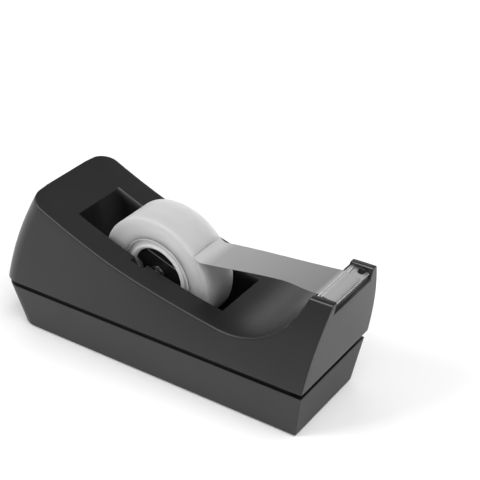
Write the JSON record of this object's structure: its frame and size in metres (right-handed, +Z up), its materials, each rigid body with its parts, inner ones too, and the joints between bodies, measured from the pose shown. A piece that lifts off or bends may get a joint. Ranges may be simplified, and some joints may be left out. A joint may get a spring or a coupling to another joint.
{
  "type": "desktop tape dispenser",
  "caption": "Weighted desktop tape dispenser: wedge-shaped two-part housing with a hollow curved deck, a tape roll on a lift-out spool in slanted slots, and a toothed cutter between two cheeks.",
  "frame": {"origin": "on the table, under the centre of the whole outline", "axes": "+X towards the cutter, +Y across the width (left seen from behind), +Z up"},
  "size_m": [0.183, 0.053, 0.0794],
  "materials": {
    "cover_plastic": "fine-textured satin black moulded plastic",
    "base_plastic": "fine-textured satin black moulded plastic",
    "ballast_iron": "as-cast iron",
    "screw_steel": "zinc-plated steel",
    "pad_foam": "dense dark foam rubber",
    "blade_steel": "bright sheet steel with cut teeth",
    "hub_plastic": "smooth black moulded plastic",
    "axle_steel": "drawn steel rod",
    "core_plastic": "smooth pale moulded plastic",
    "tape_film": "frosted translucent film"
  },
  "bodies": {
    "body": {"upper_housing": "cover_plastic", "base_housing": "base_plastic", "front_ballast": "ballast_iron", "rear_ballast": "ballast_iron", "housing_screws": "screw_steel", "non_skid_pad": "pad_foam", "cutter_blade": "blade_steel"},
    "free_run": {"tape_strip": "tape_film"},
    "spool": {"spool_hub": "hub_plastic", "axle_pin": "axle_steel", "tape_core": "core_plastic", "tape_roll": "tape_film"}
  },
  "joints": [
    {"name": "roll_lift", "type": "slide", "parent": "body", "child": "free_run", "axis": [-0.3907, 0, 0.9205], "range_m": [0, 0.02]},
    {"name": "spool_spin", "type": "hinge", "parent": "free_run", "child": "spool", "pos_m": [-0.00585, 0, 0.0472], "axis": [0, 1, 0], "continuous": true}
  ]
}
